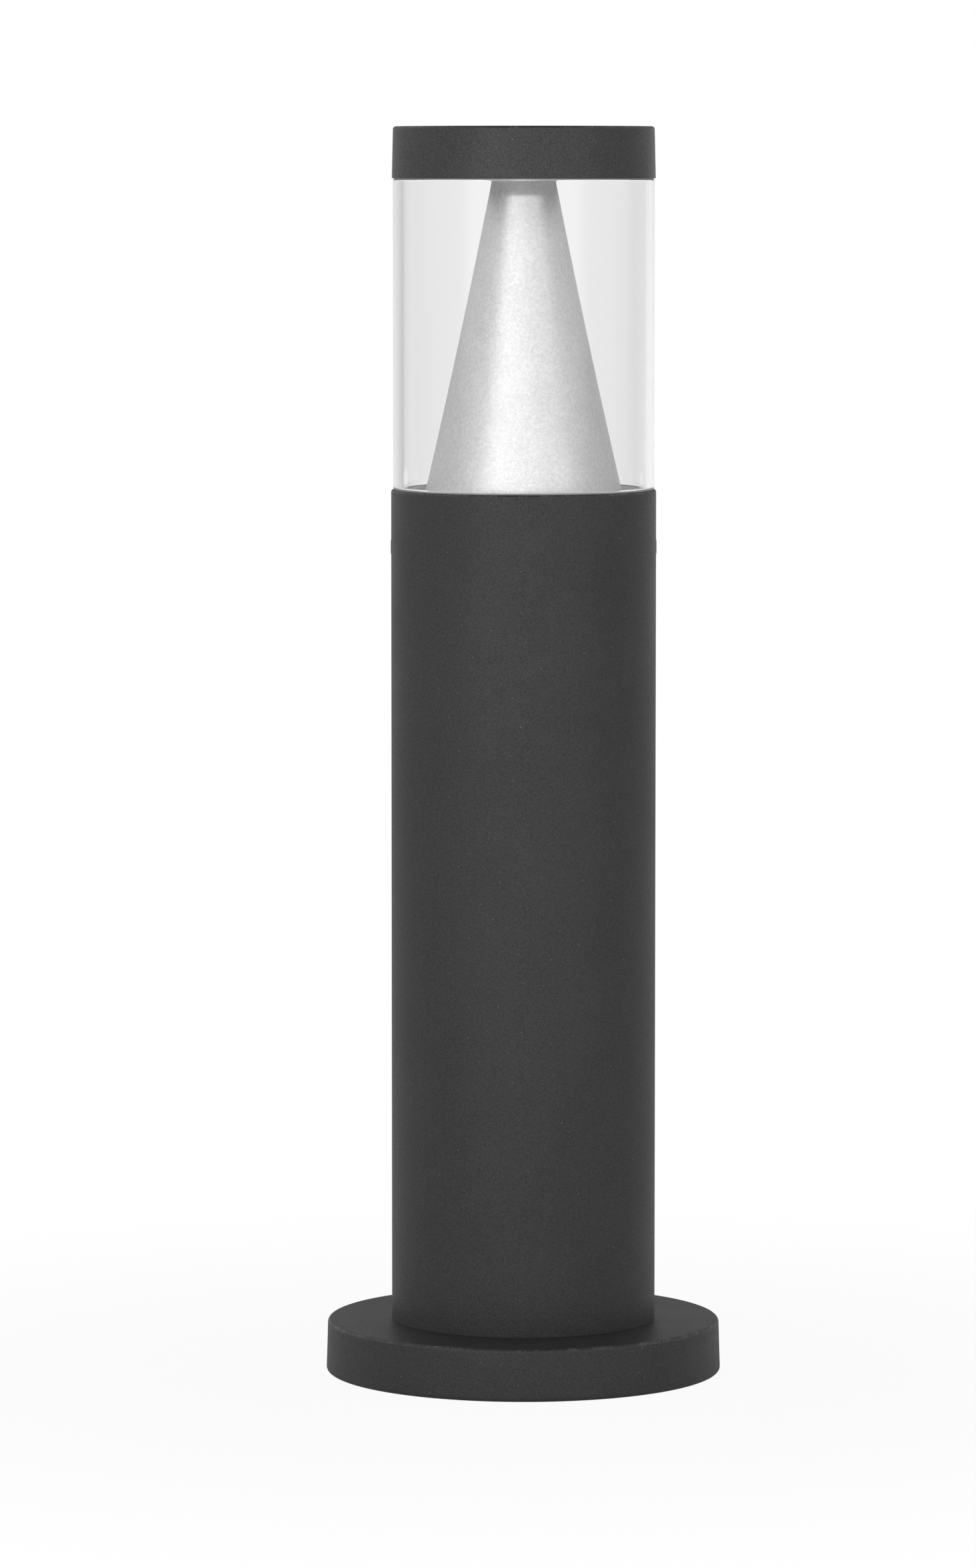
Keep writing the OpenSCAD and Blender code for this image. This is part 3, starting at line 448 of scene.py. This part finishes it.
# Clear tube. Extruded acrylic with polished, slightly broken edges, 4 mm thick, clamped between
# the two seals.
TUBE_WALL = 0.004
TUBE_EDGE = 0.0003
TUBE_HOLD = 0.0004
TURN_SEGMENTS = 256
TURN_CORE = 0.001
SMOOTH_DEG = 30
WELD_GAP = 1e-7


def clear(name, wave, wave_depth, shade, **inputs):
    """A clear plastic, a little wavy, that lets the lamps' light through at that shade."""
    made, tree, shader = material(name, Transmission_Weight=1.0, **inputs)
    relief(tree, shader, use(tree, grain, Cloud=wave)["Coarse"], wave_depth)
    lets_lamps_in = add(tree, "ShaderNodeMixShader", {
        0: add(tree, "ShaderNodeLightPath").outputs["Is Shadow Ray"], 1: shader.outputs[0],
        2: add(tree, "ShaderNodeBsdfTransparent", {"Color": (*shade, 1)}).outputs[0],
    })
    tree.links.new(lets_lamps_in.outputs[0], tree.nodes["Material Output"].inputs["Surface"])
    return made


def started(name, kinds):
    """A Geometry Nodes tree with named inputs of those kinds, their identifiers and their sockets."""
    tree = bpy.data.node_groups.new(name, "GeometryNodeTree")
    keys = {}
    for key, kind in kinds.items():
        socket = tree.interface.new_socket(key, in_out="INPUT", socket_type="NodeSocket" + kind)
        keys[key] = socket.identifier
    tree.interface.new_socket("Mesh", in_out="OUTPUT", socket_type="NodeSocketGeometry")
    return tree, keys, tree.nodes.new("NodeGroupInput").outputs


def ended(tree, geometry, made):
    """Ends the tree in real faces of that material."""
    solid = add(tree, "GeometryNodeRealizeInstances", {0: geometry})
    dressed = add(tree, "GeometryNodeSetMaterial", {"Geometry": solid.outputs[0], "Material": made})
    add(tree, "NodeGroupOutput", {0: dressed.outputs[0]})


turning, turning_keys, given = started("turning", {
    "Profile": "Object", "Segments": "Int", "Material": "Material",
})
profile = add(turning, "GeometryNodeObjectInfo", {"Object": given["Profile"]}).outputs["Geometry"]
ring = add(turning, "GeometryNodeCurvePrimitiveCircle", {
    "Resolution": given["Segments"], "Radius": TURN_CORE,
})
swept = add(turning, "GeometryNodeCurveToMesh", {"Curve": ring.outputs["Curve"], "Profile Curve": profile})
ended(turning, swept.outputs["Mesh"], given["Material"])


def baked(name, tree, keys, values):
    """A plain mesh object with what that Geometry Nodes tree makes of those named values."""
    holder = bpy.data.objects.new(name + "_maker", bpy.data.meshes.new(name + "_maker"))
    scene.collection.objects.link(holder)
    modifier = holder.modifiers.new("maker", "NODES")
    modifier.node_group = tree
    for key, value in values.items():
        modifier[keys[key]] = value
    mesh = bpy.data.meshes.new_from_object(holder.evaluated_get(bpy.context.evaluated_depsgraph_get()))
    mesh.name = name
    holder.modifiers.remove(modifier)
    bpy.data.objects.remove(holder)
    shape = bmesh.new()
    shape.from_mesh(mesh)
    bmesh.ops.remove_doubles(shape, verts=shape.verts, dist=WELD_GAP)
    loose = [edge for edge in shape.edges if not edge.link_faces]
    bmesh.ops.delete(shape, geom=loose, context="EDGES")
    bmesh.ops.recalc_face_normals(shape, faces=shape.faces)
    shape.to_mesh(mesh)
    shape.free()
    mesh.shade_smooth()
    mesh.set_sharp_from_angle(angle=math.radians(SMOOTH_DEG))
    piece = bpy.data.objects.new(name, mesh)
    scene.collection.objects.link(piece)
    return piece


def turned_piece(name, profile, made, segments=TURN_SEGMENTS):
    """A closed profile of (radius, height) points turned about Z."""
    outline = bpy.data.curves.new(name + "_profile", "CURVE")
    line = outline.splines.new("POLY")
    line.points.add(len(profile) - 1)
    for point, (r, z) in zip(line.points, profile):
        point.co = (r - TURN_CORE, -z, 0, 1)
    line.use_cyclic_u = True
    guide = bpy.data.objects.new(name + "_profile", outline)
    scene.collection.objects.link(guide)
    piece = baked(name, turning, turning_keys, {"Profile": guide, "Segments": segments, "Material": made})
    bpy.data.objects.remove(guide)
    return piece


def arc(r, z, edge_r, start, end, steps=5):
    """Points of a rounded edge about (r, z), between two angles in degrees."""
    turns = [math.radians(start + (end - start) * i / steps) for i in range(steps + 1)]
    return [(r + edge_r * math.cos(a), z + edge_r * math.sin(a)) for a in turns]


clear_acrylic = clear(
    "clear_acrylic", wave=0.05, wave_depth=0.000008, shade=(0.92, 0.92, 0.92),
    Base_Color=(0.947, 0.947, 0.947), IOR=1.49, Roughness=0.0)
low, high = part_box("clear_tube")
tube_r, e = high.x, TUBE_EDGE
bore_r = tube_r - TUBE_WALL
foot_z, head_z = low.z + e, high.z - e
clear_tube = turned_piece("lantern_tube", [
    *arc(tube_r - e, foot_z, e, -90, 0, 3), (tube_r, foot_z + TUBE_HOLD),
    (tube_r, head_z - TUBE_HOLD), *arc(tube_r - e, head_z, e, 0, 90, 3),
    *arc(bore_r + e, head_z, e, 90, 180, 3), (bore_r, head_z - TUBE_HOLD),
    (bore_r, foot_z + TUBE_HOLD), *arc(bore_r + e, foot_z, e, 180, 270, 3),
], clear_acrylic)
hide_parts("clear_tube")
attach(clear_tube, "root")

# Cone reflector. Aluminium sheet spun over a former to a slightly hollow cone, with a flat brim
# whose edge is turned up inside the clear tube. It is blasted to a bright satin grain and closed at
# the top round the tie pipe.
CONE_FOOT_R = 0.0393
CONE_TOP_R = 0.0122
CONE_BOW = 0.0006
CONE_SHEET = 0.0012
CONE_STEPS = 48
CONE_EDGE = 0.0005
CONE_LEAN_DEG = 12
RIM_H = 0.0025
RIM_EDGE = 0.0004
BRIM_BEND = 0.0006
PIPE_HOLE_R = 0.00525
SATIN_DARK = (0.68, 0.68, 0.68)
SATIN_LIGHT = (0.92, 0.92, 0.92)
SATIN_MATT = (0.41, 0.47)
SATIN_SHARES = (0.45, 0.40, 0.15)
SATIN_GRAIN = 0.00062
SATIN_MOTTLE = 0.0015
SATIN_CLOUD = 0.012
SATIN_DEPTH = 0.00008
SPIN_PITCH = 0.0009

reflector_aluminium, tree, shader = material("reflector_aluminium", Metallic=1.0, IOR=1.5)
texture = use(tree, grain, Size=SATIN_GRAIN, Cloud=SATIN_CLOUD)
mottle = use(tree, grain, Size=SATIN_MOTTLE, Cloud=SATIN_CLOUD)["Fine"]
rings = use(tree, turned, Pitch=SPIN_PITCH)["Height"]
speckle = weighed(tree, *zip((texture["Fine"], mottle, texture["Coarse"]), SATIN_SHARES))
tint(tree, shader, SATIN_DARK, SATIN_LIGHT, speckle)
tree.links.new(ramp(tree, mottle, 0, 1, *SATIN_MATT), shader.inputs["Roughness"])
height = weighed(tree, (texture["Height"], FINE_SHARE), (rings, COARSE_SHARE))
relief(tree, shader, height, SATIN_DEPTH)

low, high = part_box("reflector_cone")
brim_r, seat_z, top_z = high.x, low.z, high.z
brim_z, rim_z = seat_z + CONE_SHEET, seat_z + RIM_H
cone_h = top_z - brim_z


def cone_r(u):
    """Outside radius of the cone at a share u of its height."""
    return CONE_FOOT_R * (1 - u) + CONE_TOP_R * u - 4 * CONE_BOW * u * (1 - u)


bend, e = BRIM_BEND, RIM_EDGE
bend_in = cone_r(bend / cone_h) - CONE_FOOT_R
foot_bend = [(CONE_FOOT_R + bend * (1 - t) ** 2 + bend_in * t * t, brim_z + bend * t * t)
             for t in (0, 0.25, 0.5, 0.75)]
steps = [bend / cone_h, *(i / CONE_STEPS for i in range(1, CONE_STEPS)), 1 - CONE_EDGE / cone_h]
outer = [(cone_r(u), brim_z + cone_h * u) for u in steps]
inner = [(cone_r(i / CONE_STEPS) - CONE_SHEET, brim_z + (cone_h - CONE_SHEET) * i / CONE_STEPS)
         for i in range(CONE_STEPS, -1, -1)]
rim_in = brim_r - CONE_SHEET
reflector = turned_piece("spun_reflector", [
    *arc(brim_r - bend, seat_z + bend, bend, -90, 0), *arc(brim_r - e, rim_z - e, e, 0, 90),
    *arc(rim_in + e, rim_z - e, e, 90, 180), *arc(rim_in - bend, brim_z + bend, bend, 0, -90),
    *foot_bend, *outer,
    *arc(CONE_TOP_R - CONE_EDGE, top_z - CONE_EDGE, CONE_EDGE, CONE_LEAN_DEG, 90, 4),
    (PIPE_HOLE_R, top_z), (PIPE_HOLE_R, top_z - CONE_SHEET), *inner,
    (CONE_FOOT_R - CONE_SHEET, seat_z + bend), (CONE_FOOT_R - CONE_SHEET + bend, seat_z),
], reflector_aluminium)
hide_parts("reflector_cone")
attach(reflector, "root")

# Tie pipe and clamping screws. Brass: the pipe is threaded all along, at a pitch of one
# millimetre.
THREAD_PITCH = 0.001
THREAD_DEPTH = 0.0006

brass, tree, shader = grained(
    "brass", dark=(0.62, 0.46, 0.2), light=(0.78, 0.62, 0.32), size=0.0008, cloud=0.008,
    matt=(0.26, 0.38), matt_by="Fine", Metallic=1.0, IOR=1.5)
place = surface_point(tree)
turn_share = calc(tree, "DIVIDE", calc(tree, "ARCTAN2", place["Y"], place["X"]), 2 * math.pi)
rise = calc(tree, "ADD", calc(tree, "DIVIDE", place["Z"], THREAD_PITCH), turn_share)
relief(tree, shader, calc(tree, "PINGPONG", rise, 0.5), THREAD_DEPTH)
finish(brass, "tie_pipe", "clamp_screws")

# Light board. An aluminium board with white solder mask over its tracks, screwed up against the
# cap, which carries the heat away.
TRACK_PITCH = 0.003
TRACK_HALF = 0.0011
MASK_SHARES = (0.6, 0.4)
MASK_DEPTH = 0.00004

board_white, tree, shader = material("board_white", Roughness=0.38, IOR=1.5)
texture = use(tree, grain, Size=0.0012, Cloud=0.02)
place = surface_point(tree)
fold = calc(tree, "PINGPONG", distance(tree, place["X"], place["Y"]), TRACK_PITCH)
off_track = calc(tree, "ABSOLUTE", calc(tree, "SUBTRACT", fold, TRACK_PITCH / 2))
track = calc(tree, "LESS_THAN", off_track, TRACK_HALF)
tint(tree, shader, (0.74, 0.75, 0.74), (0.83, 0.84, 0.82), track)
relief(tree, shader, weighed(tree, *zip((track, texture["Height"]), MASK_SHARES)), MASK_DEPTH)
finish(board_white, "led_board")

# Light chips. Twelve white ceramic packages, soldered to the board in a circle, each with a round
# pool of yellow phosphor.
CHIP_N = 12
CHIP_RING_R = 0.024
CHIP_FIRST = math.pi / CHIP_N
POOL_R = 0.00122
POOL_EDGE_R = POOL_R * 0.96
POOL_SHARES = (0.8, 0.2)
POOL_DEPTH = 0.0001
CERAMIC = (0.80, 0.80, 0.77)

phosphor, tree, shader = material("chip_yellow", Roughness=0.42, IOR=1.41)
texture = use(tree, grain, Size=0.0003, Cloud=0.003)
yellow = tint(tree, shader, (0.74, 0.56, 0.13), (0.86, 0.72, 0.28), texture["Fine"])
place = surface_point(tree)
radius = distance(tree, place["X"], place["Y"])
fold = calc(tree, "PINGPONG", calc(tree, "ARCTAN2", place["Y"], place["X"]), CHIP_FIRST)
off_turn = calc(tree, "SUBTRACT", fold, CHIP_FIRST)
across = calc(tree, "MULTIPLY", radius, calc(tree, "SINE", off_turn))
out_from_axis = calc(tree, "MULTIPLY", radius, calc(tree, "COSINE", off_turn))
outward = calc(tree, "SUBTRACT", out_from_axis, CHIP_RING_R)
outside = ramp(tree, distance(tree, across, outward), POOL_EDGE_R, POOL_R)
tree.links.new(blend(tree, outside, yellow, CERAMIC), shader.inputs["Base Color"])
relief(tree, shader, weighed(tree, *zip((outside, texture["Height"]), POOL_SHARES)), POOL_DEPTH)
finish(phosphor, "led_chips")

# Lens ring. Clear moulded polycarbonate that shuts the light unit from below, with a low lens
# inside it under each chip.
LENS_R = 0.0044
LENS_H = 0.0026
LENS_ABOVE = 0.00152
LENS_STEPS = 8
LENS_SEGMENTS = 24

clear_lens = clear(
    "clear_lens", wave=0.02, wave_depth=0.00003, shade=(0.9, 0.9, 0.9),
    Base_Color=(0.97, 0.97, 0.97), IOR=1.58, Roughness=0.08)
finish(clear_lens, "led_lens_ring")

ring_of_copies, ring_keys, given = started("ring_of_copies", {
    "Shape": "Object", "Count": "Int", "Radius": "Float", "First Turn": "Float", "Height": "Float",
    "Material": "Material",
})
shape = add(ring_of_copies, "GeometryNodeObjectInfo", {"Object": given["Shape"]}).outputs["Geometry"]
index = add(ring_of_copies, "GeometryNodeInputIndex").outputs[0]
step = calc(ring_of_copies, "DIVIDE", 2 * math.pi, given["Count"])
turn = calc(ring_of_copies, "ADD", calc(ring_of_copies, "MULTIPLY", index, step), given["First Turn"])
x, y = (calc(ring_of_copies, "MULTIPLY", calc(ring_of_copies, part, turn), given["Radius"])
        for part in ("COSINE", "SINE"))
place = add(ring_of_copies, "ShaderNodeCombineXYZ", {"X": x, "Y": y, "Z": given["Height"]})
points = add(ring_of_copies, "GeometryNodePoints", {"Count": given["Count"], "Position": place.outputs[0]})
facing = add(ring_of_copies, "ShaderNodeCombineXYZ", {"Z": turn})
copies = add(ring_of_copies, "GeometryNodeInstanceOnPoints", {
    "Points": points.outputs[0], "Instance": shape, "Rotation": facing.outputs[0],
})
ended(ring_of_copies, copies.outputs[0], given["Material"])

turns = [i * math.pi / 2 / LENS_STEPS for i in range(LENS_STEPS)]
dome = [(LENS_R * math.cos(a), LENS_H * math.sin(a)) for a in turns]
one_lens = turned_piece("chip_lens", [(0, 0), *dome, (0, LENS_H)], clear_lens, LENS_SEGMENTS)
lenses = baked("chip_lenses", ring_of_copies, ring_keys, {
    "Shape": one_lens, "Count": CHIP_N, "Radius": CHIP_RING_R, "First Turn": CHIP_FIRST,
    "Height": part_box("led_lens_ring")[0].z + LENS_ABOVE, "Material": clear_lens,
})
bpy.data.objects.remove(one_lens)
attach(lenses, "root")

# Gear tray. Folded sheet steel, zinc plated, with the mottled sheen of the plating.
zinc = grained(
    "zinc_plated_sheet", dark=(0.42, 0.44, 0.47), light=(0.58, 0.60, 0.63), size=0.0015, cloud=0.014,
    depth=0.00003, matt=(0.30, 0.48), Metallic=1.0, IOR=1.5)[0]
finish(zinc, "gear_tray")

# Earth lug. Stamped copper, tinned.
tinned = grained(
    "tinned_copper", dark=(0.56, 0.56, 0.54), light=(0.68, 0.68, 0.65), size=0.0007, cloud=0.004,
    depth=0.00002, matt=(0.28, 0.42), matt_by="Fine", Metallic=1.0, IOR=1.5)[0]
finish(tinned, "earth_lug")

# Driver, terminal block and leads. Moulded plastics, each with the faint grain of its mould. Each
# row has a finish's dark and light colour, its roughness, the size of its grain and its node.
MOULDED = {
    "driver_case": ((0.70, 0.70, 0.67), (0.80, 0.80, 0.77), 0.42, 0.0011, "led_driver"),
    "terminal_nylon": ((0.62, 0.64, 0.62), (0.73, 0.75, 0.72), 0.38, 0.0009, "terminal_block"),
    "insulation_red": ((0.38, 0.022, 0.016), (0.48, 0.035, 0.024), 0.45, 0.0006, "led_lead_plus"),
    "insulation_black": ((0.012, 0.012, 0.013), (0.02, 0.02, 0.022), 0.45, 0.0006, "led_lead_minus"),
    "insulation_brown": ((0.11, 0.045, 0.022), (0.16, 0.07, 0.035), 0.42, 0.0006, "mains_lead_live"),
    "insulation_blue": ((0.022, 0.12, 0.34), (0.035, 0.17, 0.44), 0.42, 0.0006, "mains_lead_neutral"),
    "insulation_earth": ((0.05, 0.26, 0.05), (0.62, 0.55, 0.05), 0.42, 0.0006, "earth_lead"),
}
EARTH_STRIPE = 0.009


def stripes(tree):
    """The green and yellow bands of the earth lead."""
    fold = calc(tree, "PINGPONG", calc(tree, "DIVIDE", surface_point(tree)["Z"], EARTH_STRIPE), 0.5)
    return calc(tree, "GREATER_THAN", fold, 0.25)


for name, (dark, light, roughness, size, member) in MOULDED.items():
    moulded = grained(
        name, dark, light, size, cloud=0.012, depth=0.00003, Roughness=roughness, IOR=1.5,
        pattern=stripes if name == "insulation_earth" else None)[0]
    finish(moulded, member)
